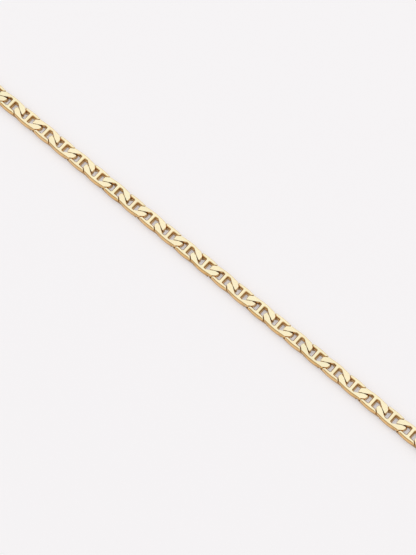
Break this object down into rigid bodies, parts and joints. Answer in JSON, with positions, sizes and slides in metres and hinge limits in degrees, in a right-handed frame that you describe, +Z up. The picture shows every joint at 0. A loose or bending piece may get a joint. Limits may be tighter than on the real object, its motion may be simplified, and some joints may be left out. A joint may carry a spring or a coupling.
{
  "type": "mariner link neck chain",
  "caption": "Flat mariner link neck chain with a crossbar in each link, closed by a plain box clasp, lying as a loop with a straight front.",
  "frame": {"origin": "middle of the floor that the loop covers, on the surface that it lies on", "axes": "+X along the straight front stretch, +Y from the front stretch to the clasp, +Z up from the surface"},
  "size_m": [0.1912, 0.0878, 0.0022],
  "materials": {
    "gold": "polished yellow gold with flat cut and burnished tops"
  },
  "bodies": {
    "root": {"chain_front": "gold", "chain_back": "gold", "clasp": "gold"}
  },
  "joints": []
}
